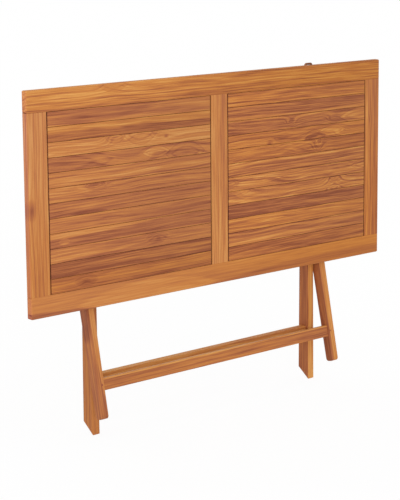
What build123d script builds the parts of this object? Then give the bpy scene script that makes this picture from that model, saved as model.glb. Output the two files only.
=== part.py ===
from build123d import *
from math import cos, radians, sin, tan
import os

# Folding slatted table, folded as it stands for storage.
# X runs along the table top, Y from its face to the legs behind it, Z up from the floor.

# Table top, millimetres
top_length = 1300.0
top_width = 600.0
top_thickness = 22.0
rail_width = 58.5
stile_width = 61.0
outer_edge_radius = 4.0
inner_edge_radius = 1.0

# Slats, tongued into the stiles
slat_count = 12
slat_gap = 1.0
slat_end_gap = 3.2
slat_thickness = 18.0
slat_edge_radius = 0.7
tongue_thickness = 8.0
tongue_length = 10.0

# Stile tenons and the pins that hold them
tenon_width = 41.0
tenon_thickness = 10.0
tenon_length = 30.0
pin_diameter = 6.0
pin_length = 16.0

# Legs, all four alike; lengths are measured from the crossing bolt
leg_thickness = 25.0
leg_depth_at_pivot = 34.5
leg_taper = 0.0167
pivot_to_foot = 476.0
leg_past_hinge = 49.0
leg_end_radius = 9.0
leg_edge_radius = 2.2
outer_leg_inset = 198.5

# Folded and open angles, degrees
folded_lean = 12.1
open_lean = 36.6

# Where the two bolts sit: behind the face, and in from the lower and upper edges of the top
pivot_setback = 73.2
pivot_above_edge = 102.7
hinge_below_edge = 126.3

# Cross bars between the legs
bar_near = 310.0
bar_width = 33.5
bar_thickness = 22.0
bar_edge_radius = 2.0
bar_tenon_width = 22.0
bar_tenon_thickness = 12.0
bar_tenon_length = 15.0
dowel_diameter = 6.0
dowel_length = 24.0
dowel_stand_out = 0.3

# Bearers under the top, with the notch that catches the upper cross bar
bearer_thickness = 25.0
bearer_depth = 96.0
bearer_waist = 62.0
bearer_tab = 46.0
bearer_lower_margin = 6.0
bearer_upper_margin = 36.0
lower_tab_length = 20.0
upper_tab_length = 30.0
bearer_step_clearance = 1.0
hinge_land_above = 22.0
hinge_land_below = 40.0
notch_land_end = 100.0
waist_slope = 50.0
notch_clearance = 1.0

# Bolts, nuts, washers and screws
bolt_diameter = 8.0
running_clearance = 0.05
side_clearance = 0.3
side_gap = 2.0
head_diameter = 18.0
head_height = 5.0
head_radius = 2.0
nut_diameter = 15.0
nut_height = 6.5
nut_recess = 7.0
cap_nut_diameter = 14.0
cap_nut_height = 9.0
cap_nut_radius = 3.0
washer_diameter = 20.0
screw_diameter = 5.0
screw_head_diameter = 9.0
screw_head_height = 3.0
screw_depth = 14.0
screw_inset = 10.0

# Wire loop on the back of the upper rail
loop_wire = 6.2
loop_bend_radius = 5.0
loop_width = 26.0
loop_centre_x = 374.0
loop_foot_depth = 12.0
loop_foot_below_edge = 20.0
loop_rise = 2.4

# Positions that follow from the sizes
edge_z = pivot_to_foot - pivot_above_edge
hinge_above_edge = top_width - hinge_below_edge
pivot_to_hinge = hinge_above_edge - pivot_above_edge
pivot_to_top_end = pivot_to_hinge + leg_past_hinge
slat_width = (top_width - 2 * rail_width - (slat_count + 1) * slat_gap) / slat_count
panel_length = (top_length - 3 * stile_width) / 2
stile_length = top_width - 2 * rail_width
outer_leg_x = top_length / 2 - outer_leg_inset - leg_thickness / 2
inner_leg_x = outer_leg_x - leg_thickness - side_gap
bearer_x = inner_leg_x - leg_thickness / 2 - side_gap - bearer_thickness / 2
foot_half = (leg_depth_at_pivot + leg_taper * pivot_to_foot) / 2
top_half = (leg_depth_at_pivot - leg_taper * pivot_to_top_end) / 2
foot_rise = 2 * foot_half * tan(radians(open_lean))
bar_centre = bar_near + bar_width / 2
bolt_hole = bolt_diameter + 2 * running_clearance
loop_feet_x = (loop_centre_x - loop_width / 2, loop_centre_x + loop_width / 2)
loop_foot_z = edge_z + top_width - loop_foot_below_edge
screw_heights = [
    edge_z + bearer_lower_margin + screw_inset,
    edge_z + top_width - bearer_upper_margin - screw_inset,
]
sides = {"left": -1, "right": 1}


def x_cylinder(diameter, x_start, x_end, y, z):
    """Round bar along X between two X positions."""
    middle = (x_start + x_end) / 2
    return Pos(middle, y, z) * Rot(0, 90, 0) * Cylinder(diameter / 2, abs(x_end - x_start))


def y_cylinder(diameter, y_start, y_end, x, z):
    """Round bar along Y between two Y positions."""
    middle = (y_start + y_end) / 2
    return Pos(x, middle, z) * Rot(90, 0, 0) * Cylinder(diameter / 2, abs(y_end - y_start))


def x_slab(points, thickness):
    """Outline in Y and Z, given thickness along X and centred on X = 0."""
    outline = Polyline(*[(0, y, z) for y, z in points], close=True)
    return extrude(make_face(outline), thickness / 2, dir=(1, 0, 0), both=True)


def x_edges(solid):
    """Edges of a solid that run along X."""
    return solid.edges().filter_by(Axis.X)


# Table top frame: two long rails with three stiles tenoned between them
stile_x = {
    "end_stile_left": -(top_length - stile_width) / 2,
    "centre_stile": 0.0,
    "end_stile_right": (top_length - stile_width) / 2,
}
rail_z = {
    "long_rail_lower": edge_z + rail_width / 2,
    "long_rail_upper": edge_z + top_width - rail_width / 2,
}
pin_z = [
    edge_z + rail_width - tenon_length / 2,
    edge_z + top_width - rail_width + tenon_length / 2,
]
frame_y = top_thickness / 2
stile_z = edge_z + top_width / 2
tenon_reach = stile_length + 2 * tenon_length


def tenon_bar(x):
    """The two tenons of one stile, as one bar through its length."""
    return Pos(x, frame_y, stile_z) * Box(tenon_width, tenon_thickness, tenon_reach)


def pins_at(x):
    """The two pins that lock one stile's tenons, one in each rail."""
    return [
        y_cylinder(pin_diameter, top_thickness - pin_length, top_thickness, x, z)
        for z in pin_z
    ]


def make_rail(name):
    """One long rail with rounded outer edges, mortises and pin holes."""
    z = rail_z[name]
    rail = Pos(0, frame_y, z) * Box(top_length, top_thickness, rail_width)
    across = x_edges(rail).sort_by(Axis.Z)
    outer = across[:2] if name == "long_rail_lower" else across[2:]
    ends = rail.edges().filter_by(Axis.X, reverse=True)
    rail = fillet(outer + ends, outer_edge_radius)
    inner_z = edge_z + rail_width if name == "long_rail_lower" else edge_z + top_width - rail_width
    inner = [edge for edge in x_edges(rail) if abs(edge.center().Z - inner_z) < 0.01]
    rail = fillet(inner, inner_edge_radius)
    for x in stile_x.values():
        rail -= tenon_bar(x)
        rail -= pins_at(x)
    return rail


def make_stile(name):
    """One stile with tenons, pin holes and a groove on each panel side."""
    x = stile_x[name]
    body = Pos(x, frame_y, stile_z) * Box(stile_width, top_thickness, stile_length)
    upright = body.edges().filter_by(Axis.Z)
    if name == "centre_stile":
        stile = fillet(upright, inner_edge_radius)
    else:
        ordered = upright.sort_by(Axis.X)
        outside = ordered[:2] if x < 0 else ordered[2:]
        stile = fillet(outside, outer_edge_radius)
        inside_x = x - stile_width / 2 if x > 0 else x + stile_width / 2
        near = [edge for edge in stile.edges().filter_by(Axis.Z) if abs(edge.center().X - inside_x) < 0.01]
        stile = fillet(near, inner_edge_radius)
    stile += tenon_bar(x)
    groove = Box(2 * tongue_length, tongue_thickness, stile_length)
    if x <= 0:
        stile -= Pos(x + stile_width / 2, slat_thickness / 2, stile_z) * groove
    if x >= 0:
        stile -= Pos(x - stile_width / 2, slat_thickness / 2, stile_z) * groove
    stile -= pins_at(x)
    return stile


def make_slat(panel_side, row):
    """One slat of a panel with a tongue at each end; row 0 is next to the upper rail."""
    panel_x = panel_side * (panel_length + stile_width) / 2
    step = slat_width + slat_gap
    z = edge_z + top_width - rail_width - slat_gap - slat_width / 2 - row * step
    slat = Box(panel_length - 2 * slat_end_gap, slat_thickness, slat_width)
    face = slat.faces().sort_by(Axis.Y)[0]
    slat = fillet(face.edges(), slat_edge_radius)
    slat += Box(panel_length + 2 * tongue_length, tongue_thickness, slat_width)
    return Pos(panel_x, slat_thickness / 2, z) * slat


# Bearers: deep at the hinge and at the notch, with a screwed tab at each end
def notch_corner():
    """Corner of the cross bar nearest the top when the table is open, as Y and height over the edge."""
    lean = radians(open_lean)
    along = bar_near + bar_width + notch_clearance
    across = bar_thickness / 2 + notch_clearance
    pivot_down = pivot_setback + pivot_to_hinge * cos(lean)
    pivot_out = pivot_to_hinge * sin(lean)
    corner_down = pivot_down - along * cos(lean) - across * sin(lean)
    corner_out = pivot_out + along * sin(lean) - across * cos(lean)
    return corner_down, hinge_above_edge - corner_out


def make_bearer(side):
    """One bearer, with its hinge hole, bar notch and screw holes."""
    corner_y, corner_z = notch_corner()
    lean = radians(open_lean)
    notch_depth = bearer_depth - corner_y
    notch_low = corner_z - notch_depth / tan(lean)
    notch_high = corner_z + notch_depth * tan(lean)
    step_low = rail_width + bearer_step_clearance
    step_high = top_width - rail_width - bearer_step_clearance
    upper_end = top_width - bearer_upper_margin
    lower_tab_end = bearer_lower_margin + lower_tab_length
    hinge_land_low = hinge_above_edge - hinge_land_below
    points = [
        (top_thickness, bearer_lower_margin),
        (top_thickness, step_low),
        (slat_thickness, step_low),
        (slat_thickness, step_high),
        (top_thickness, step_high),
        (top_thickness, upper_end),
        (bearer_tab, upper_end),
        (bearer_tab, upper_end - upper_tab_length),
        (bearer_depth, hinge_above_edge + hinge_land_above),
        (bearer_depth, hinge_land_low),
        (bearer_waist, hinge_land_low - waist_slope),
        (bearer_waist, notch_land_end + waist_slope),
        (bearer_depth, notch_land_end),
        (bearer_depth, notch_high),
        (corner_y, corner_z),
        (bearer_depth, notch_low),
        (bearer_depth, lower_tab_end),
        (bearer_tab, lower_tab_end),
        (bearer_tab, bearer_lower_margin),
    ]
    x = sides[side] * bearer_x
    bearer = Pos(x, 0, edge_z) * x_slab(points, bearer_thickness)
    hinge_z = edge_z + hinge_above_edge
    bearer -= x_cylinder(bolt_hole, x - bearer_thickness, x + bearer_thickness, pivot_setback, hinge_z)
    for z in screw_heights:
        bearer -= y_cylinder(screw_diameter, 0, bearer_tab, x, z)
    return bearer


def screw(x, z):
    """Screw through a bearer tab into a rail, with a low round head on the tab."""
    head = y_cylinder(screw_head_diameter, bearer_tab, bearer_tab + screw_head_height, x, z)
    head = fillet(head.edges().sort_by(Axis.Y)[-1], screw_head_height / 2)
    return head + y_cylinder(screw_diameter, top_thickness - screw_depth, bearer_tab, x, z)


# Legs, drawn with the crossing bolt at the origin and the top end up
def leg_blank(long_side):
    """Tapered leg; long_side is -1 or 1, the Y side that is longer at the slanted foot."""
    points = [
        (-top_half, pivot_to_top_end),
        (top_half, pivot_to_top_end),
        (foot_half, -pivot_to_foot if long_side > 0 else foot_rise - pivot_to_foot),
        (-foot_half, -pivot_to_foot if long_side < 0 else foot_rise - pivot_to_foot),
    ]
    leg = x_slab(points, leg_thickness)
    leg = fillet(x_edges(leg).sort_by(Axis.Z)[2:], leg_end_radius)
    sharp = leg.edges().filter_by(Axis.X, reverse=True)
    return fillet(sharp, leg_edge_radius)


def bar_body(length, z):
    """Cross bar of the given length between shoulders, with a tenon at each end."""
    bar = Box(length, bar_thickness, bar_width)
    bar = fillet(x_edges(bar), bar_edge_radius)
    bar += Box(length + 2 * bar_tenon_length, bar_tenon_thickness, bar_tenon_width)
    return Pos(0, 0, z) * bar


def dowel(x, z, face):
    """Dowel from the front face of a leg through the bar tenon; face is the half depth there."""
    return y_cylinder(dowel_diameter, -face - dowel_stand_out, dowel_length - face, x, z)


def half_depth(z):
    """Half the leg depth at a height over the crossing bolt."""
    return (leg_depth_at_pivot - leg_taper * z) / 2


def place_inner(shape):
    """Inner frame stands upright, in line with the top."""
    return Pos(0, pivot_setback, pivot_to_foot) * shape


def place_outer(shape):
    """Outer frame is turned over, its top ends down and leaning forward."""
    return Pos(0, pivot_setback, pivot_to_foot) * Rot(180 - folded_lean, 0, 0) * shape


inner_shoulder = 2 * inner_leg_x - leg_thickness
outer_shoulder = 2 * outer_leg_x - leg_thickness
dowel_inset = bar_tenon_length / 2

inner_bar = bar_body(inner_shoulder, -bar_centre)
outer_upper_bar = bar_body(outer_shoulder, bar_centre)
outer_lower_bar = bar_body(outer_shoulder, -bar_centre)


def leg_dowels(shoulder, z, face_sign):
    """Pair of dowels at both ends of one bar; face_sign picks the leg face they start from."""
    pair = []
    for sign in sides.values():
        x = sign * (shoulder / 2 + dowel_inset)
        one = dowel(x, z, half_depth(z))
        pair.append(one if face_sign < 0 else mirror(one, Plane.XZ))
    return pair


inner_dowels = leg_dowels(inner_shoulder, -bar_centre, -1)
outer_upper_dowels = leg_dowels(outer_shoulder, bar_centre, 1)
outer_lower_dowels = leg_dowels(outer_shoulder, -bar_centre, 1)


def make_inner_leg(side):
    """Inner leg with bolt holes, nut recess, bar mortise and dowel hole."""
    sign = sides[side]
    x = sign * inner_leg_x
    leg = Pos(x, 0, 0) * leg_blank(-1)
    inside = x - sign * leg_thickness / 2
    for z in (0, pivot_to_hinge):
        leg -= x_cylinder(bolt_hole, x - leg_thickness, x + leg_thickness, 0, z)
    leg -= x_cylinder(nut_diameter, inside - sign, inside + sign * nut_recess, 0, 0)
    leg -= inner_bar
    leg -= inner_dowels
    return place_inner(leg)


def make_outer_leg(side):
    """Outer leg with a running bolt hole, two bar mortises and dowel holes."""
    sign = sides[side]
    x = sign * outer_leg_x
    leg = Pos(x, 0, 0) * leg_blank(1)
    leg -= x_cylinder(bolt_hole, x - leg_thickness, x + leg_thickness, 0, 0)
    leg -= outer_upper_bar
    leg -= outer_lower_bar
    leg -= outer_upper_dowels
    leg -= outer_lower_dowels
    return place_outer(leg)


# Bolts, drawn on the crossing bolt axis and moved to their place
def domed(cylinder, sign, radius):
    """Round the far rim of a disc along X."""
    rims = cylinder.edges().filter_by(GeomType.CIRCLE).sort_by(Axis.X)
    return fillet(rims[-1] if sign > 0 else rims[0], radius)


def scissor_bolt(sign):
    """Bolt through both legs at the crossing, its head outside the outer leg."""
    head_x = outer_leg_x + leg_thickness / 2 + side_clearance
    end_x = inner_leg_x - leg_thickness / 2 + 1.0
    head = x_cylinder(head_diameter, sign * head_x, sign * (head_x + head_height), 0, 0)
    return domed(head, sign, head_radius) + x_cylinder(bolt_diameter, sign * end_x, sign * head_x, 0, 0)


def scissor_nut(sign):
    """Round nut sunk into the inner face of the inner leg."""
    far = inner_leg_x - leg_thickness / 2 + nut_recess
    nut = x_cylinder(nut_diameter, sign * (far - nut_height), sign * far, 0, 0)
    return nut - scissor_bolt(sign)


def hinge_bolt(sign):
    """Bolt through the inner leg and the bearer, its head on the leg."""
    head_x = inner_leg_x + leg_thickness / 2 + running_clearance
    end_x = bearer_x - bearer_thickness / 2 - side_clearance - cap_nut_height / 2
    head = x_cylinder(head_diameter, sign * head_x, sign * (head_x + head_height), 0, pivot_to_hinge)
    shank = x_cylinder(bolt_diameter, sign * end_x, sign * head_x, 0, pivot_to_hinge)
    return domed(head, sign, head_radius) + shank


def hinge_nut(sign):
    """Domed cap nut at the inner face of the bearer."""
    near = bearer_x - bearer_thickness / 2 - side_clearance
    far = near - cap_nut_height
    nut = x_cylinder(cap_nut_diameter, sign * far, sign * near, 0, pivot_to_hinge)
    return domed(nut, -sign, cap_nut_radius) - hinge_bolt(sign)


def washer(sign, leg_face, outward, z):
    """Washer against a leg face, leaving the side clearance on its other side."""
    far = leg_face + outward * (side_gap - side_clearance)
    disc = x_cylinder(washer_diameter, sign * leg_face, sign * far, 0, z)
    return disc - x_cylinder(bolt_diameter, sign * leg_face, sign * far, 0, z)


# Wire loop: two feet pressed into the rail and an arch above its edge
def make_loop():
    """Bent wire loop with rounded corners, standing on the back of the upper rail."""
    y_out = top_thickness + loop_bend_radius + side_clearance
    y_in = top_thickness - loop_foot_depth
    z_top = edge_z + top_width + loop_rise
    x_left, x_right = loop_feet_x
    path = FilletPolyline(
        (x_left, y_in, loop_foot_z),
        (x_left, y_out, loop_foot_z),
        (x_left, y_out, z_top),
        (x_right, y_out, z_top),
        (x_right, y_out, loop_foot_z),
        (x_right, y_in, loop_foot_z),
        radius=loop_bend_radius,
    )
    section = Plane(origin=path @ 0, z_dir=path % 0) * Circle(loop_wire / 2)
    return sweep(section, path=path)


# Build every node in place
nodes = {}
for name in rail_z:
    nodes[name] = make_rail(name)
for side, sign in sides.items():
    bearer_centre = sign * bearer_x
    nodes["bearer_" + side] = make_bearer(side)
    for rail_name, z in zip(rail_z, screw_heights):
        nodes[rail_name] -= screw(bearer_centre, z)
for x in loop_feet_x:
    hole = loop_wire + 2 * running_clearance
    nodes["long_rail_upper"] -= y_cylinder(hole, top_thickness - loop_foot_depth, top_thickness, x, loop_foot_z)
nodes["hanging_loop"] = make_loop()
for name in stile_x:
    nodes[name] = make_stile(name)
for side, sign in sides.items():
    for row in range(slat_count):
        nodes[f"slat_{side}_{row + 1:02d}"] = make_slat(sign, row)
nodes["tenon_pins"] = Compound(children=[pin for x in stile_x.values() for pin in pins_at(x)])
nodes["bearer_screws"] = Compound(
    children=[screw(sign * bearer_x, z) for sign in sides.values() for z in screw_heights]
)

for side in sides:
    nodes["inner_leg_" + side] = make_inner_leg(side)
    nodes["outer_leg_" + side] = make_outer_leg(side)
nodes["inner_bar"] = place_inner(inner_bar - inner_dowels)
nodes["outer_upper_bar"] = place_outer(outer_upper_bar - outer_upper_dowels)
nodes["outer_lower_bar"] = place_outer(outer_lower_bar - outer_lower_dowels)
nodes["inner_bar_dowels"] = place_inner(Compound(children=inner_dowels))
nodes["outer_upper_bar_dowels"] = place_outer(Compound(children=outer_upper_dowels))
nodes["outer_lower_bar_dowels"] = place_outer(Compound(children=outer_lower_dowels))

inner_outside = inner_leg_x + leg_thickness / 2
inner_inside = inner_leg_x - leg_thickness / 2
hardware = {
    "scissor_bolts": [scissor_bolt(sign) for sign in sides.values()],
    "scissor_nuts": [scissor_nut(sign) for sign in sides.values()],
    "scissor_washers": [washer(sign, inner_outside, 1, 0) for sign in sides.values()],
    "hinge_nuts": [hinge_nut(sign) for sign in sides.values()],
    "hinge_washers": [washer(sign, inner_inside, -1, pivot_to_hinge) for sign in sides.values()],
}
for name, pieces in hardware.items():
    nodes[name] = place_inner(Compound(children=pieces))
for side, sign in sides.items():
    nodes["hinge_bolt_" + side] = place_inner(hinge_bolt(sign))

# Centre the whole on the depth of its bounding box and write one file per node
boxes = [shape.bounding_box() for shape in nodes.values()]
middle_y = (min(box.min.Y for box in boxes) + max(box.max.Y for box in boxes)) / 2
os.makedirs("parts", exist_ok=True)
for name, shape in nodes.items():
    export_step(Pos(0, -middle_y, 0) * shape, f"parts/{name}.step")
print("crossing bolt at", pivot_setback - middle_y, pivot_to_foot)
print("hinge bolt at", pivot_setback - middle_y, edge_z + hinge_above_edge)
print("table face at", -middle_y, "lower edge at", edge_z)
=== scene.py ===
import math
import random
from collections import namedtuple

import bpy
from mathutils import Matrix, Vector


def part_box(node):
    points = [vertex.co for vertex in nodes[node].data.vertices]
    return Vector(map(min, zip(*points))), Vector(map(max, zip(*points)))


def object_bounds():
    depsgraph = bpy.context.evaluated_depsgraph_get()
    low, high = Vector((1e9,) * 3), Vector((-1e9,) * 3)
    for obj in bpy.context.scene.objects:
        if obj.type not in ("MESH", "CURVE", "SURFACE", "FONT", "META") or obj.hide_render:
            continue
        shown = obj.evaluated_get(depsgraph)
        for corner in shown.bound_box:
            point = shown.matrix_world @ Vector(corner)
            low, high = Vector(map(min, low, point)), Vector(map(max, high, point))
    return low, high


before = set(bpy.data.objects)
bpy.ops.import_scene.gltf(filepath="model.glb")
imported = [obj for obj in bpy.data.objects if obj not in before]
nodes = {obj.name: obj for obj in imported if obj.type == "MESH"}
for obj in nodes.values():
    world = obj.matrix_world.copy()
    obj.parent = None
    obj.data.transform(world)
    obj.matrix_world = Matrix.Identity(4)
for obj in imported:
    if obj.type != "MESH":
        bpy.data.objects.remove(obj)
cad_low, cad_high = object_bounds()

# Wood colours, linear, from the palest sapwood to the darkest heartwood, and the mix value of each
PALE = (0.66, 0.315, 0.085)
HONEY = (0.53, 0.197, 0.046)
RUSSET = (0.375, 0.12, 0.04)
UMBER = (0.235, 0.064, 0.025)
WOOD_STOPS = [(0.0, PALE), (0.35, HONEY), (0.7, RUSSET), (1.0, UMBER)]

# Tint of sawn ends, which also paints a pinkish sheen on the table's outer end faces, and of boards that are
# pinker or yellower than the rest
END_AND_SHEEN_TINT = (1.1, 1.06, 1.5)
ROSY_TINT = (1.0, 1.0, 1.13)
GOLDEN_TINT = (1.0, 0.97, 0.87)
PLAIN_TINT = (1.0, 1.0, 1.0)
ROSY = ["centre_stile", "outer_leg_left"]
ROSY += ["slat_left_" + row for row in ("01", "03", "04", "05", "06", "07", "08", "09", "10")]
GOLDEN = ["slat_left_12"]
GOLDEN += ["slat_right_" + row for row in ("01", "04", "05", "10", "12")]

# Painted sheen and shade that change the colour along a board, on top of its own tint: tints at its left end
# or foot and at its other end, and the share of its length, each way from the middle, over which the one
# turns into the other
PLAIN_ENDS = (1.0, 1.0)
# Slats: painted sheen at the left end, painted shade at the right end
SLAT_SHEEN_ENDS = (1.05, 0.93)
# Rails and stiles: their own tint with the painted sheen and shade at each end
BOARD_TINT_AND_SHEEN_ENDS = {
    "long_rail_upper": ((1.1, 1.1, 1.06), (0.87, 0.8, 0.57)),
    "long_rail_lower": ((1.06, 1.07, 1.2), (0.97, 0.92, 0.66)),
    "end_stile_left": ((0.98, 0.93, 0.95), (1.02, 1.03, 1.33)),
    "end_stile_right": ((1.0, 0.93, 0.72), (1.02, 1.04, 1.05)),
}
SHEEN_CHANGE = 0.4

# Tone of each slat from the upper rail down, where 0 is the palest wood and 1 the darkest
TONES = {"light": 0.31, "fair": 0.47, "mid": 0.56, "deep": 0.65, "dark": 0.74, "darkest": 0.85}
SLAT_TONES = {
    "left": "fair fair light fair fair fair deep mid deep mid darkest mid".split(),
    "right": "mid deep deep mid mid fair mid fair darkest mid mid dark".split(),
}
BOARD_TONES = {
    "long_rail_upper": 0.37,
    "long_rail_lower": 0.42,
    "end_stile_left": 0.36,
    "centre_stile": 0.36,
    "end_stile_right": 0.59,
    "inner_leg_left": 0.56,
    # palest tone: painted light on the leg's front, which sits in the table top's shade
    "inner_leg_right": 0.08,
    # pale tone: painted light, making up for the front bar's shade on it
    "inner_bar": 0.2,
    "outer_leg_left": 0.66,
    "outer_leg_right": 0.57,
    "outer_upper_bar": 0.62,
}
PLAIN_TONE = 0.5
PEG_TONE = 0.85

# Figures in the grain, with some patches of painted shade and highlight: how a patch differs from its board,
# its place as shares of the length from the left or the foot and of the width from the top or the left, and
# its half length and half width as such shares
FIGURE_TONES = {
    "bright": -0.38,
    "pale": -0.25,
    "fair": -0.13,
    "blush": 0.07,
    "warm": 0.13,
    "dark": 0.22,
    "deep": 0.32,
    "umber": 0.7,
}
FULL_LENGTH = 4.0
FIGURES = {
    "slat_left_01": [("dark", 0.2, 0.0, 0.5, 1.1)],
    "slat_left_02": [("fair", 0.5, 0.1, FULL_LENGTH, 0.4), ("dark", 0.4, 0.72, 1.2, 0.34)],
    "slat_left_03": [("warm", 0.4, 0.12, 0.06, 0.45), ("warm", 0.55, 0.08, 0.1, 0.75)],
    "slat_left_04": [
        ("warm", 0.05, 0.5, 0.33, 1.2),
        ("fair", 0.64, 0.45, 0.085, 0.42),
        ("warm", 0.82, 0.75, 0.12, 0.8),
    ],
    "slat_left_05": [("fair", 0.3, 0.6, 0.4, 0.4)],
    "slat_left_06": [("fair", 0.1, 0.3, 0.25, 0.35), ("warm", 0.28, 0.15, 0.06, 0.3)],
    "slat_left_07": [("dark", 0.25, 0.92, 0.12, 0.12), ("fair", 0.15, 0.3, 0.3, 0.3)],
    "slat_left_08": [("blush", 0.37, 0.5, 0.07, 0.35)],
    "slat_left_09": [("bright", 0.0, 0.0, 0.75, 0.42), ("fair", 0.1, 0.62, 0.035, 0.25)],
    "slat_left_10": [("warm", 0.64, 0.35, 0.07, 0.5), ("fair", 0.15, 0.5, 0.4, 0.4)],
    "slat_left_11": [("fair", 0.7, 0.45, 0.5, 0.3)],
    "slat_left_12": [("warm", 0.22, 0.45, 0.07, 0.5), ("warm", 0.6, 1.0, 0.7, 0.3)],
    "slat_right_02": [("fair", 1.0, 1.0, 0.34, 0.6)],
    "slat_right_03": [
        ("warm", 0.76, 0.65, 0.06, 0.3),
        ("fair", 0.95, 0.6, 0.16, 0.6),
        ("blush", 0.45, 0.55, 0.04, 0.3),
    ],
    "slat_right_04": [
        ("warm", 0.61, 0.8, 0.08, 0.5),
        ("fair", 0.74, 0.5, 0.1, 0.4),
        ("blush", 0.15, 0.55, 0.2, 0.3),
    ],
    "slat_right_05": [("dark", 0.85, 0.75, 0.45, 0.75), ("fair", 0.64, 0.4, 0.03, 0.5)],
    "slat_right_06": [("warm", 0.5, 0.85, FULL_LENGTH, 0.38)],
    "slat_right_07": [
        ("fair", 0.2, 0.45, 0.19, 0.36),
        ("warm", 0.98, 0.4, 0.1, 0.45),
        ("blush", 0.03, 0.4, 0.06, 0.4),
    ],
    "slat_right_08": [
        ("warm", 0.76, 0.05, 0.06, 0.5),
        ("fair", 0.75, 0.85, 0.05, 0.2),
        ("warm", 0.05, 0.1, 0.12, 0.4),
    ],
    "slat_right_10": [("fair", 0.27, 0.35, 0.14, 0.25), ("fair", 0.85, 0.3, 0.3, 0.4)],
    "slat_right_11": [("warm", 0.95, 0.4, 0.25, 0.6)],
    "slat_right_12": [("fair", 0.4, 0.5, 0.3, 0.15)],
    "long_rail_upper": [
        ("warm", 0.215, 0.05, 0.04, 0.35),
        ("warm", 0.85, 0.12, 0.4, 0.16),
        # painted shade: the rail darker along its bottom edge
        ("warm", 0.5, 1.0, FULL_LENGTH, 0.25),
    ],
    "long_rail_lower": [
        ("deep", 0.0, 1.0, 0.19, 0.26),
        ("dark", 0.9, 1.0, 0.45, 0.5),
        ("fair", 0.3, 0.8, 0.2, 0.7),
    ],
    "end_stile_right": [("fair", 0.4, 0.1, 0.8, 0.25)],
    # painted shade: darker on the leg's left side, under the table top
    "inner_leg_left": [("deep", 0.5, -0.1, 0.22, 0.35)],
    # painted shade: darker down the leg's left side
    "inner_leg_right": [("umber", 0.2, -0.05, FULL_LENGTH, 0.13)],
    # painted highlight along the bar's upper edge
    "outer_upper_bar": [("bright", 0.5, 0.0, FULL_LENGTH, 0.1)],
    "outer_leg_left": [
        ("deep", 0.38, 0.0, 0.15, 0.3),
        ("bright", 0.3, 0.8, 0.25, 0.5),
        ("blush", 0.0, 0.7, 0.08, 0.6),
    ],
    "outer_leg_right": [
        # painted shade down the leg's left side, and painted light over its front
        ("deep", 0.18, -0.05, FULL_LENGTH, 0.15),
        ("pale", 0.18, 0.7, FULL_LENGTH, 0.45),
    ],
}
FIGURE_SLOTS = ("A", "B", "C")

# Knots: place as for the figures, share of the depth from the front, radius in metres, and how much darker
# the heart is
KNOTS = {
    "slat_left_03": (0.705, 0.5, 0.0, 0.006, 0.6),
    "slat_left_06": (0.26, 0.6, 0.0, 0.009, 0.05),
    "slat_left_10": (0.65, 0.4, 0.0, 0.01, 0.1),
    "slat_left_12": (0.215, 0.5, 0.0, 0.01, 0.15),
    "slat_right_03": (0.45, 0.5, 0.0, 0.007, 0.05),
    "slat_right_04": (0.305, 0.78, 0.0, 0.009, 0.5),
    "slat_right_05": (0.65, 0.3, 0.0, 0.008, 0.2),
    "slat_right_08": (0.76, 0.5, 0.0, 0.007, 0.15),
    "long_rail_lower": (0.0, 0.79, 0.3, 0.0025, 1.2),
    "end_stile_left": (0.48, 0.17, 0.0, 0.018, 0.55),
    "end_stile_right": (0.72, 0.3, 0.0, 0.007, 0.15),
    "inner_leg_right": (0.18, 0.0, 0.4, 0.004, 0.4),
}

# Place, radius and reach of the knots and figures that a board doesn't have
FAR_AWAY = (50.0, 50.0, 50.0)
UNUSED_RADIUS = 0.01
UNUSED_REACH = (1.0, 1.0, 0.0)

# Slats whose grain swirls round its figures
SWIRLED = ["slat_left_" + row for row in ("03", "04", "06")]
SWIRLED += ["slat_right_" + row for row in ("03", "04", "05", "07", "08")]

# Detail of the grain, in cycles a metre along, across and into the wood
WAVE_CYCLES = (4.0, 14.0, 14.0)
STREAK_CYCLES = (1.8, 150.0, 150.0)
FIBRE_CYCLES = (9.0, 320.0, 320.0)
PORE_CYCLES = (70.0, 1700.0, 1700.0)
CLOUD_CYCLES = (2.0, 10.0, 10.0)

# The same for detail that follows the growth rings: along the board and out from the pith
RING_ALONG = 0.8
BAND_CYCLES = (1.0, 70.0, 1.0)
LINE_CYCLES = (2.0, 210.0, 1.0)

# Range of the shift that the waves give the grain, in metres along, across and into the wood
WAVE_SHIFT = (0.03, 0.02, 0.01)

# Noise values between which a band or a line sets in, and the value at which pores begin
BAND_EDGE = (0.36, 0.64)
LINE_EDGE = (0.42, 0.7)
PORE_START = 0.64
PORE_GAIN = 5.0

# Change of tone from one extreme of each detail to the other, and the means that are taken off first
BAND_TONE = 0.26
STREAK_TONE = 0.55
LINE_TONE = 0.34
CLOUD_TONE = 0.25
FIBRE_TONE = 0.4
FIBRE_TONE_PER_LINES = 0.8
NOISE_MEAN = 0.5
LINE_MEAN = 0.27

# Share of its colour that wood loses in a pore, and the painted shade on walls inside the gaps
PORE_SHADE = 0.25
PAINTED_GAP_SHADE = 0.5

# Figures, in shares of their half size: where their edges fade, and how far the streaks shift those edges
FIGURE_EDGE = (0.8, 1.08)
FEATHER = 0.6

# Thin outlines nested in the figures, in the same shares, and their tone for each metre of push
OUTLINE_SPACING = 0.5
OUTLINE_END = (1.05, 1.3)
OUTLINE_SHARPNESS = 7.0
OUTLINE_MEAN = 0.3
OUTLINE_TONE_PER_PUSH = 12.0

# Knots: how far they push the rings in metres, and how their distance counts along and into the wood, where
# across it counts as 1
KNOT_PUSH = 0.006
KNOT_ALONG = 0.55
KNOT_INTO = 0.35

# Surface of the wood
WOOD_SPECULAR = 0.22
WOOD_ROUGHNESS = 0.5
FIBRE_ROUGHNESS = 0.16
END_GRAIN_ROUGHNESS = 0.2
FIBRE_HEIGHT = 0.5
BUMP_STRENGTH = 0.25
BUMP_DISTANCE = 0.0004

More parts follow.
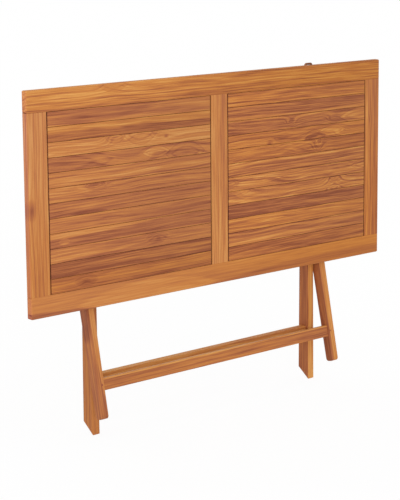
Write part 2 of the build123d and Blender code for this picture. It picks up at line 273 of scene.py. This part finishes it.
# Cosine from which a surface begins to face a direction, and how steeply its share then grows
FACING_FROM = 0.7
FACING_GAIN = 3.3

# Lean of the outer legs from upright when folded
FOLDED_LEAN = math.radians(12.1)

# Limits of chance in the cut of a board: turn and tilt of its rings in radians, and in metres the place of
# its pith to one side and behind it and the shift along the grain
RING_TURN = 0.012
RING_TILT = (0.003, 0.02)
PITH_ASIDE = (0.03, 0.1)
PITH_DEPTH = (0.02, 0.06)
GRAIN_SHIFT = 9

# Grain of a board: its tone, the strength of its detail, and the tilt of its rings and the depth of its pith
Grain = namedtuple("Grain", "tone waves bands lines push tilt pith")

# Metal: linear colours, roughness, and wear and scratches in cycles a metre
BRASS = (0.62, 0.44, 0.2)
BRASS_ROUGHNESS = 0.36
BRONZE = (0.33, 0.14, 0.07)
BRONZE_ROUGHNESS = 0.5
WEAR_CYCLES = (160.0, 160.0, 160.0)
WEAR_EDGE = (0.3, 0.62)
WORN_SHARE = 0.6
SCRATCH_CYCLES = (900.0, 900.0, 120.0)
SCRATCH_ROUGHNESS = 0.16
METAL_WORDS = ("bolt", "nuts", "washers", "screws")


def add(tree, kind, **sockets):
    """New shader node; keywords set its inputs by name, with underscores for spaces."""
    made = tree.nodes.new("ShaderNode" + kind)
    for name, value in sockets.items():
        made.inputs[name.replace("_", " ")].default_value = value
    return made


def link(tree, source, target):
    """Joins an output to an input."""
    tree.links.new(source, target)


def maths(tree, operation, first, second=None, third=None, clamp=False):
    """Math node on sockets or numbers, returning its output."""
    made = add(tree, "Math")
    made.operation = operation
    made.use_clamp = clamp
    for slot, value in zip(made.inputs, (first, second, third)):
        if value is None:
            continue
        if isinstance(value, (int, float)):
            slot.default_value = value
        else:
            link(tree, value, slot)
    return made.outputs[0]


def vector_maths(tree, operation, first, second, output="Vector"):
    """Vector maths node on two sockets or fixed vectors, returning one of its outputs."""
    made = add(tree, "VectorMath")
    made.operation = operation
    for slot, value in zip(made.inputs, (first, second)):
        if isinstance(value, bpy.types.NodeSocket):
            link(tree, value, slot)
        else:
            slot.default_value = value
    return made.outputs[output]


def noise(tree, vector, cycles, detail=2.0, roughness=0.5, output="Fac"):
    """Noise texture with a number of cycles a metre along each axis of the vector."""
    made = add(tree, "TexNoise", Scale=1.0, Detail=detail, Roughness=roughness)
    link(tree, vector_maths(tree, "MULTIPLY", vector, cycles), made.inputs["Vector"])
    return made.outputs[output]


def centred(tree, value):
    """Noise moved down so that it varies about zero."""
    return maths(tree, "SUBTRACT", value, NOISE_MEAN)


def ramp(tree, factor, stops):
    """Colour ramp from a list of (position, colour)."""
    made = add(tree, "ValToRGB")
    band = made.color_ramp.elements
    while len(band) < len(stops):
        band.new(0.5)
    for element, (position, colour) in zip(band, stops):
        element.position = position
        element.color = (*colour, 1.0)
    link(tree, factor, made.inputs["Fac"])
    return made.outputs["Color"]


def oval_distance(tree, point, centre, reach):
    """Distance from a centre in shares of an oval's half sizes; reach is one over each half size."""
    offset = vector_maths(tree, "SUBTRACT", point, centre)
    made = add(tree, "VectorMath")
    made.operation = "LENGTH"
    link(tree, vector_maths(tree, "MULTIPLY", offset, reach), made.inputs[0])
    return made.outputs["Value"]


def lens_distance(tree, point, centre, reach):
    """Like oval_distance, for a lens with pointed ends between two long arcs."""
    offset = vector_maths(tree, "SUBTRACT", point, centre)
    split = add(tree, "SeparateXYZ")
    link(tree, vector_maths(tree, "MULTIPLY", offset, reach), split.inputs[0])
    along = maths(tree, "POWER", maths(tree, "ABSOLUTE", split.outputs["X"]), 2.0)
    across = maths(tree, "ABSOLUTE", split.outputs["Y"])
    return maths(tree, "ADD", along, across)


def fade(tree, value, start, end):
    """Smooth step from 0 at the start to 1 at the end."""
    made = add(tree, "MapRange")
    made.interpolation_type = "SMOOTHSTEP"
    made.inputs["From Min"].default_value = start
    made.inputs["From Max"].default_value = end
    link(tree, value, made.inputs["Value"])
    return made.outputs["Result"]


def fade_out(tree, value, start, end):
    """Smooth step from 1 at the start to 0 at the end."""
    return maths(tree, "SUBTRACT", 1.0, fade(tree, value, start, end))


def swell(tree, distance):
    """Bump of height 1 that falls away with the distance from its middle."""
    return maths(tree, "DIVIDE", 1.0, maths(tree, "ADD", maths(tree, "POWER", distance, 2.0), 1.0))


def sum_of(tree, values):
    """Sum of a list of sockets."""
    total = values[0]
    for value in values[1:]:
        total = maths(tree, "ADD", total, value)
    return total


def add_scaled(tree, total, value, share):
    """Running total plus a share of a value."""
    return maths(tree, "MULTIPLY_ADD", value, share, total)


def nested_outlines(tree, away):
    """Thin lines round the middle of a figure, about zero on average, that end just outside its edge."""
    line_away = maths(tree, "PINGPONG", away, OUTLINE_SPACING / 2)
    line = maths(tree, "MULTIPLY", line_away, OUTLINE_SHARPNESS)
    line = maths(tree, "SUBTRACT", 1.0, line, clamp=True)
    line = maths(tree, "SUBTRACT", line, OUTLINE_MEAN)
    return maths(tree, "MULTIPLY", line, fade_out(tree, away, *OUTLINE_END))


def make_grain_group():
    """Teak in grain space: x runs along the grain, and growth rings circle the x axis."""
    tree = bpy.data.node_groups.new("teak_grain", "ShaderNodeTree")
    face = tree.interface
    vectors = ["Grain", "Knot", "Tint"]
    vectors += [word + slot for slot in FIGURE_SLOTS for word in ("Place ", "Reach ")]
    numbers = ["Knot Radius", "Knot Heart", "Tone", "Waves", "Bands", "Lines", "Push"]
    numbers += ["End Grain", "Painted Gap Shade", "End And Sheen"] + ["Tone " + slot for slot in FIGURE_SLOTS]
    for name in vectors:
        face.new_socket(name, in_out="INPUT", socket_type="NodeSocketVector")
    for name in numbers:
        face.new_socket(name, in_out="INPUT", socket_type="NodeSocketFloat")
    face.new_socket("Color", in_out="OUTPUT", socket_type="NodeSocketColor")
    face.new_socket("Roughness", in_out="OUTPUT", socket_type="NodeSocketFloat")
    face.new_socket("Height", in_out="OUTPUT", socket_type="NodeSocketFloat")
    given = tree.nodes.new("NodeGroupInput").outputs
    result = tree.nodes.new("NodeGroupOutput").inputs
    straight = given["Grain"]

    # Slow waves bend every line of the board
    waves = noise(tree, straight, WAVE_CYCLES, detail=1.5, output="Color")
    waves = vector_maths(tree, "SUBTRACT", waves, (NOISE_MEAN, NOISE_MEAN, NOISE_MEAN))
    waves = vector_maths(tree, "MULTIPLY", waves, WAVE_SHIFT)
    grain = vector_maths(tree, "ADD", straight, vector_maths(tree, "MULTIPLY", waves, given["Waves"]))
    split = add(tree, "SeparateXYZ")
    link(tree, grain, split.inputs[0])
    squares = maths(tree, "POWER", split.outputs["Z"], 2.0)
    squares = maths(tree, "ADD", squares, maths(tree, "POWER", split.outputs["Y"], 2.0))
    ring = maths(tree, "SQRT", squares)

    # Figures push the rings aside and change the tone, with streaky edges and nested outlines
    streaks = noise(tree, grain, STREAK_CYCLES, detail=3.0, roughness=0.65)
    feather = maths(tree, "MULTIPLY", centred(tree, streaks), FEATHER)
    outline_tone = maths(tree, "MULTIPLY", given["Push"], OUTLINE_TONE_PER_PUSH)
    mix = given["Tone"]
    for slot in FIGURE_SLOTS:
        away = lens_distance(tree, straight, given["Place " + slot], given["Reach " + slot])
        ring = add_scaled(tree, ring, swell(tree, away), given["Push"])
        inside = fade_out(tree, maths(tree, "ADD", away, feather), *FIGURE_EDGE)
        mix = maths(tree, "ADD", mix, maths(tree, "MULTIPLY", inside, given["Tone " + slot]))
        outlines = nested_outlines(tree, away)
        mix = maths(tree, "ADD", mix, maths(tree, "MULTIPLY", outlines, outline_tone))

    # The knot pushes the rings aside too, and has a dark heart
    knot_reach = add(tree, "CombineXYZ")
    across_reach = maths(tree, "DIVIDE", 1.0, given["Knot Radius"])
    link(tree, maths(tree, "MULTIPLY", across_reach, KNOT_ALONG), knot_reach.inputs["X"])
    link(tree, across_reach, knot_reach.inputs["Y"])
    link(tree, maths(tree, "MULTIPLY", across_reach, KNOT_INTO), knot_reach.inputs["Z"])
    knot_away = oval_distance(tree, grain, given["Knot"], knot_reach.outputs[0])
    ring = add_scaled(tree, ring, swell(tree, knot_away), KNOT_PUSH)
    heart = maths(tree, "SUBTRACT", 1.0, knot_away, clamp=True)
    mix = add_scaled(tree, mix, heart, given["Knot Heart"])

    # Bands and growth lines follow the rings, streaks and fibres follow the board
    ring_place = add(tree, "CombineXYZ")
    link(tree, maths(tree, "MULTIPLY", split.outputs["X"], RING_ALONG), ring_place.inputs["X"])
    link(tree, ring, ring_place.inputs["Y"])
    bands = fade(tree, noise(tree, ring_place.outputs[0], BAND_CYCLES, detail=2.0), *BAND_EDGE)
    lines = fade(tree, noise(tree, ring_place.outputs[0], LINE_CYCLES, detail=3.0), *LINE_EDGE)
    fibres = noise(tree, grain, FIBRE_CYCLES, detail=3.0)
    pores = noise(tree, grain, PORE_CYCLES, detail=1.0)
    pore = maths(tree, "SUBTRACT", pores, PORE_START, clamp=True)
    pore = maths(tree, "MULTIPLY", pore, PORE_GAIN, clamp=True)
    cloud = noise(tree, straight, CLOUD_CYCLES, detail=1.0)
    bands = add_scaled(tree, maths(tree, "MULTIPLY", bands, BAND_TONE), streaks, STREAK_TONE)
    bands = maths(tree, "SUBTRACT", bands, NOISE_MEAN * (BAND_TONE + STREAK_TONE))
    lines = maths(tree, "MULTIPLY", maths(tree, "SUBTRACT", lines, LINE_MEAN), LINE_TONE)
    fibre_tone = maths(tree, "MULTIPLY_ADD", given["Lines"], FIBRE_TONE_PER_LINES, FIBRE_TONE)
    mix = add_scaled(tree, mix, bands, given["Bands"])
    mix = add_scaled(tree, mix, lines, given["Lines"])
    mix = add_scaled(tree, mix, centred(tree, cloud), CLOUD_TONE)
    mix = add_scaled(tree, mix, centred(tree, fibres), fibre_tone)
    wood = ramp(tree, mix, WOOD_STOPS)

    # Sawn ends are pinker and the table's outer end faces get a painted pinkish sheen, pores are darker, and
    # walls in the gaps get painted shade
    cut = add(tree, "Mix")
    cut.data_type = "RGBA"
    cut.blend_type = "MULTIPLY"
    cut.clamp_factor = True
    link(tree, given["End And Sheen"], cut.inputs["Factor"])
    link(tree, vector_maths(tree, "MULTIPLY", wood, given["Tint"]), cut.inputs["A"])
    cut.inputs["B"].default_value = (*END_AND_SHEEN_TINT, 1.0)
    dark = maths(tree, "MULTIPLY", pore, PORE_SHADE)
    # Painted shade darkens the walls inside the gaps
    dark = add_scaled(tree, dark, given["Painted Gap Shade"], PAINTED_GAP_SHADE)
    shade = add(tree, "VectorMath")
    shade.operation = "SCALE"
    link(tree, cut.outputs["Result"], shade.inputs[0])
    link(tree, maths(tree, "SUBTRACT", 1.0, dark, clamp=True), shade.inputs["Scale"])
    link(tree, shade.outputs[0], result["Color"])

    # Fibres and sawn ends are rougher, and pores are pits in the surface
    rough = add_scaled(tree, WOOD_ROUGHNESS, fibres, FIBRE_ROUGHNESS)
    rough = add_scaled(tree, rough, given["End Grain"], END_GRAIN_ROUGHNESS)
    link(tree, rough, result["Roughness"])
    height = maths(tree, "SUBTRACT", maths(tree, "MULTIPLY", fibres, FIBRE_HEIGHT), pore)
    link(tree, height, result["Height"])
    return tree


def is_peg(name):
    """Whether a node is made of pegs, whose grain runs from front to back."""
    return "dowel" in name or "pins" in name


def grain_direction(name):
    """Direction of the grain of a wooden node, along its length."""
    if is_peg(name):
        return Vector((0, 1, 0))
    if name.startswith("outer_leg"):
        return Vector((0, math.sin(FOLDED_LEAN), math.cos(FOLDED_LEAN)))
    if "stile" in name or "leg" in name or "bearer" in name:
        return Vector((0, 0, 1))
    return Vector((1, 0, 0))


def grain_axes(name):
    """Rotation whose rows are the directions along, across and into the wood."""
    along = grain_direction(name)
    into = Vector((0, 0, 1)) if is_peg(name) else Vector((0, 1, 0))
    into = (into - along * into.dot(along)).normalized()
    across = into.cross(along)
    return Matrix((along, across, into))


def gap_walls(name):
    """Directions in which a piece has a wall inside a gap at the ends of the slats, which gets painted
    shade.
    """
    right, left = Vector((1, 0, 0)), Vector((-1, 0, 0))
    if name == "end_stile_left":
        return [right]
    if name == "end_stile_right":
        return [left]
    if name == "centre_stile" or name.startswith("slat"):
        return [left, right]
    return []


def sheen_sides(name):
    """Directions of the table's outer end faces, which get a painted pinkish sheen."""
    if name == "end_stile_left":
        return [Vector((-1, 0, 0))]
    if name == "end_stile_right":
        return [Vector((1, 0, 0))]
    return []


def facing_share(tree, normal, direction):
    """1 where the surface faces a direction, falling to 0 where it turns away."""
    cosine = vector_maths(tree, "DOT_PRODUCT", normal, direction, output="Value")
    past = maths(tree, "SUBTRACT", cosine, FACING_FROM, clamp=True)
    return maths(tree, "MULTIPLY", past, FACING_GAIN, clamp=True)


def board_tints_and_sheen(name):
    """Tint of a wooden node with the painted sheen and shade at the start and at the end of its length."""
    if name in BOARD_TINT_AND_SHEEN_ENDS:
        return [Vector(tint) for tint in BOARD_TINT_AND_SHEEN_ENDS[name]]
    tint = Vector(PLAIN_TINT)
    if name in ROSY:
        tint = Vector(ROSY_TINT)
    if name in GOLDEN:
        tint = Vector(GOLDEN_TINT)
    ends = SLAT_SHEEN_ENDS if name.startswith("slat") else PLAIN_ENDS
    return [share * tint for share in ends]


def board_grain(name):
    """Grain of a wooden node, some of it by chance."""
    chance = random.Random("values " + name)
    tilt = chance.uniform(*RING_TILT)
    pith = chance.uniform(*PITH_DEPTH)
    if name.startswith("slat"):
        _, side, row = name.split("_")
        tone = TONES[SLAT_TONES[side][int(row) - 1]]
        waves, push = (1.5, 0.018) if name in SWIRLED else (0.7, 0.004)
        bands, lines = (0.55, 0.85) if side == "left" else (0.85, 1.25)
        return Grain(tone, waves, bands, lines, push, tilt, pith)
    tone = BOARD_TONES.get(name, PLAIN_TONE)
    if name == "long_rail_upper":
        return Grain(tone, waves=0.5, bands=0.65, lines=1.2, push=0.012, tilt=0.001, pith=0.02)
    if name == "long_rail_lower":
        return Grain(tone, waves=0.5, bands=0.4, lines=0.3, push=0.004, tilt=tilt / 4, pith=pith)
    if "stile" in name:
        return Grain(tone, waves=0.5, bands=0.5, lines=0.9, push=0.004, tilt=tilt / 4, pith=pith)
    if is_peg(name):
        return Grain(PEG_TONE, waves=0.0, bands=0.3, lines=0.3, push=0.0, tilt=0.0, pith=0.004)
    return Grain(tone, waves=0.5, bands=0.6, lines=0.8, push=0.004, tilt=tilt / 2, pith=pith)


def make_wood(name, group, grain):
    """Teak for one piece: its growth rings tilt, and centre at the pith's depth behind it."""
    chance = random.Random(name)
    low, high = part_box(name)
    centre = (low + high) / 2
    axes = grain_axes(name)
    lean = Matrix.Rotation(grain.tilt * chance.choice((-1, 1)), 3, "Y")
    lean = lean @ Matrix.Rotation(chance.uniform(-RING_TURN, RING_TURN), 3, "Z")
    turn = lean @ axes
    side = chance.choice((-1, 1)) * chance.uniform(*PITH_ASIDE)
    start = Vector((chance.uniform(-GRAIN_SHIFT, GRAIN_SHIFT), side, -grain.pith))
    spread = Vector(abs(v) for v in axes @ (high - low))

    def in_grain(*shares):
        """Place in grain space from shares of the length, the width and the depth behind the front."""
        local = Vector((share - 0.5) * size for share, size in zip(shares, spread))
        return turn @ (axes.transposed() @ local) + start

    material = bpy.data.materials.new("teak_" + name)
    material.use_nodes = True
    tree = material.node_tree
    shader = tree.nodes["Principled BSDF"]
    shader.inputs["Specular IOR Level"].default_value = WOOD_SPECULAR
    place = add(tree, "TexCoord")
    move = add(tree, "Mapping")
    move.inputs["Rotation"].default_value = turn.to_euler("XYZ")
    move.inputs["Location"].default_value = start - turn @ centre
    link(tree, place.outputs["Object"], move.inputs["Vector"])

    teak = add(tree, "Group")
    teak.node_tree = group
    teak.inputs["Tone"].default_value = grain.tone
    teak.inputs["Waves"].default_value = grain.waves
    teak.inputs["Bands"].default_value = grain.bands
    teak.inputs["Lines"].default_value = grain.lines
    teak.inputs["Push"].default_value = grain.push
    link(tree, move.outputs[0], teak.inputs["Grain"])

    # Colour cast with painted sheen and shade, which changes along the board
    split = add(tree, "SeparateXYZ")
    link(tree, move.outputs[0], split.inputs[0])
    change = SHEEN_CHANGE * spread.x
    passed = fade(tree, split.outputs["X"], start.x - change, start.x + change)
    first_tint_and_sheen, last_tint_and_sheen = board_tints_and_sheen(name)
    passed = vector_maths(tree, "MULTIPLY", passed, last_tint_and_sheen - first_tint_and_sheen)
    link(tree, vector_maths(tree, "ADD", passed, first_tint_and_sheen), teak.inputs["Tint"])

    # Knot and figures
    teak.inputs["Knot"].default_value = FAR_AWAY
    teak.inputs["Knot Radius"].default_value = UNUSED_RADIUS
    if name in KNOTS:
        *shares, radius, heart = KNOTS[name]
        teak.inputs["Knot"].default_value = in_grain(*shares)
        teak.inputs["Knot Radius"].default_value = radius
        teak.inputs["Knot Heart"].default_value = heart
    for slot in FIGURE_SLOTS:
        teak.inputs["Place " + slot].default_value = FAR_AWAY
        teak.inputs["Reach " + slot].default_value = UNUSED_REACH
    for slot, figure in zip(FIGURE_SLOTS, FIGURES.get(name, [])):
        word, share_along, share_across, half_length, half_width = figure
        reach = (1 / (half_length * spread.x), 1 / (half_width * spread.y), 0.0)
        teak.inputs["Place " + slot].default_value = in_grain(share_along, share_across, 0.0)
        teak.inputs["Reach " + slot].default_value = reach
        teak.inputs["Tone " + slot].default_value = FIGURE_TONES[word]

    # Sawn ends, the painted sheen on the table's outer end faces, and the painted shade on walls inside gaps
    normal = place.outputs["Normal"]
    ends = [facing_share(tree, normal, way * grain_direction(name)) for way in (1, -1)]
    link(tree, sum_of(tree, ends), teak.inputs["End Grain"])
    # Sawn ends get a pinkish tint, and the table's outer end faces get a painted pinkish sheen
    end_and_sheen_faces = ends + [facing_share(tree, normal, direction) for direction in sheen_sides(name)]
    link(tree, sum_of(tree, end_and_sheen_faces), teak.inputs["End And Sheen"])
    # Painted shade on the walls inside the gaps at the ends of the slats
    walls = [facing_share(tree, normal, direction) for direction in gap_walls(name)]
    if walls:
        link(tree, sum_of(tree, walls), teak.inputs["Painted Gap Shade"])

    bump = add(tree, "Bump", Strength=BUMP_STRENGTH, Distance=BUMP_DISTANCE)
    link(tree, teak.outputs["Height"], bump.inputs["Height"])
    link(tree, bump.outputs[0], shader.inputs["Normal"])
    link(tree, teak.outputs["Color"], shader.inputs["Base Color"])
    link(tree, teak.outputs["Roughness"], shader.inputs["Roughness"])
    return material


def make_metal(name, colour, roughness):
    """Turned metal with faint cloudy wear in its colour and gloss."""
    material = bpy.data.materials.new(name)
    material.use_nodes = True
    tree = material.node_tree
    shader = tree.nodes["Principled BSDF"]
    shader.inputs["Metallic"].default_value = 1.0
    place = add(tree, "TexCoord")
    wear = noise(tree, place.outputs["Object"], WEAR_CYCLES, detail=4.0)
    worn = tuple(WORN_SHARE * channel for channel in colour)
    worn_end, bright_start = WEAR_EDGE
    worn_colour = ramp(tree, wear, [(worn_end, worn), (bright_start, colour)])
    link(tree, worn_colour, shader.inputs["Base Color"])
    scratch = noise(tree, place.outputs["Object"], SCRATCH_CYCLES, detail=2.0)
    least_rough = roughness - SCRATCH_ROUGHNESS / 2
    link(tree, add_scaled(tree, least_rough, scratch, SCRATCH_ROUGHNESS), shader.inputs["Roughness"])
    return material


def background_rays(tree):
    """1 for rays that see the background as white: the camera's, and those mirrored or let through."""
    rays = add(tree, "LightPath")
    seen = maths(tree, "MAXIMUM", rays.outputs["Is Camera Ray"], rays.outputs["Is Glossy Ray"])
    return maths(tree, "MAXIMUM", seen, rays.outputs["Is Transmission Ray"])


def set_material(name, material):
    """Gives a node one material and no other."""
    mesh = nodes[name].data
    mesh.materials.clear()
    mesh.materials.append(material)


grain_group = make_grain_group()
bolt_metal = make_metal("bolt_brass", BRASS, BRASS_ROUGHNESS)
loop_metal = make_metal("loop_bronze", BRONZE, BRONZE_ROUGHNESS)
for node_name in nodes:
    if node_name == "hanging_loop":
        set_material(node_name, loop_metal)
    elif any(word in node_name for word in METAL_WORDS):
        set_material(node_name, bolt_metal)
    else:
        set_material(node_name, make_wood(node_name, grain_group, board_grain(node_name)))

# Floor: white in view and in reflections, with a faint shadow left in it
FLOOR_SIZE = 40.0
FLOOR_COLOUR = (0.9, 0.9, 0.9, 1.0)
FLOOR_ROUGHNESS = 0.9
FLOOR_GLOW = 1.02
SHADOW_SHARE = 0.1
bpy.ops.mesh.primitive_plane_add(size=FLOOR_SIZE, location=(0, 0, cad_low.z))
floor = bpy.context.object
floor.name = "floor"
paint = bpy.data.materials.new("floor_white")
paint.use_nodes = True
floor_tree = paint.node_tree
lit = floor_tree.nodes["Principled BSDF"]
lit.inputs["Base Color"].default_value = FLOOR_COLOUR
lit.inputs["Roughness"].default_value = FLOOR_ROUGHNESS
glow = add(floor_tree, "Emission", Strength=FLOOR_GLOW)
shown = maths(floor_tree, "MULTIPLY", background_rays(floor_tree), 1.0 - SHADOW_SHARE)
blend = add(floor_tree, "MixShader")
link(floor_tree, shown, blend.inputs["Fac"])
link(floor_tree, lit.outputs[0], blend.inputs[1])
link(floor_tree, glow.outputs[0], blend.inputs[2])
link(floor_tree, blend.outputs[0], floor_tree.nodes["Material Output"].inputs["Surface"])
floor.data.materials.append(paint)

# Light: an even white room, and one soft key from the front left
ROOM_LIGHT = 0.8
KEY_STRENGTH = 1.1
KEY_WIDTH = math.radians(25)
KEY_FROM = Vector((-0.55, -0.75, 0.2))
world = bpy.data.worlds.new("studio")
bpy.context.scene.world = world
world.use_nodes = True
world_tree = world.node_tree
sky = world_tree.nodes["Background"]
sky.inputs["Color"].default_value = (1, 1, 1, 1)
strength = maths(world_tree, "MULTIPLY_ADD", background_rays(world_tree), 1.0 - ROOM_LIGHT, ROOM_LIGHT)
link(world_tree, strength, sky.inputs["Strength"])
key_data = bpy.data.lights.new("key", "SUN")
key_data.energy = KEY_STRENGTH
key_data.angle = KEY_WIDTH
key = bpy.data.objects.new("key", key_data)
bpy.context.scene.collection.objects.link(key)
key.rotation_mode = "QUATERNION"
key.rotation_quaternion = (-KEY_FROM).to_track_quat("-Z", "Y")

# Camera, at the photograph's angle: place in millimetres from the lower left corner of the table face
IMAGE_WIDTH, IMAGE_HEIGHT = 400, 500
FOCAL_PIXELS = 1600.0
CENTRE_PIXEL = (200.2, 190.05)
SENSOR = 36.0
CAMERA_FROM_CORNER = Vector((-2280.3, -3376.8, 1024.0))
MM_PER_METRE = 1000
AZIMUTH = math.radians(40.24)
ELEVATION = math.radians(9.57)
ROLL = math.radians(-0.5)
face_corner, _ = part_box("long_rail_lower")
camera_data = bpy.data.cameras.new("camera")
camera_data.sensor_width = SENSOR
camera_data.lens = FOCAL_PIXELS * SENSOR / IMAGE_HEIGHT
camera_data.shift_x = (IMAGE_WIDTH / 2 - CENTRE_PIXEL[0]) / IMAGE_HEIGHT
camera_data.shift_y = (CENTRE_PIXEL[1] - IMAGE_HEIGHT / 2) / IMAGE_HEIGHT
camera = bpy.data.objects.new("camera", camera_data)
bpy.context.scene.collection.objects.link(camera)
ahead = Vector((
    math.sin(AZIMUTH) * math.cos(ELEVATION),
    math.cos(AZIMUTH) * math.cos(ELEVATION),
    -math.sin(ELEVATION),
))
roll = Matrix.Rotation(ROLL, 3, "Z").to_quaternion()
camera.rotation_mode = "QUATERNION"
camera.rotation_quaternion = ahead.to_track_quat("-Z", "Y") @ roll
camera.location = face_corner + CAMERA_FROM_CORNER / MM_PER_METRE
bpy.context.scene.camera = camera
bpy.context.scene.view_settings.view_transform = "Standard"
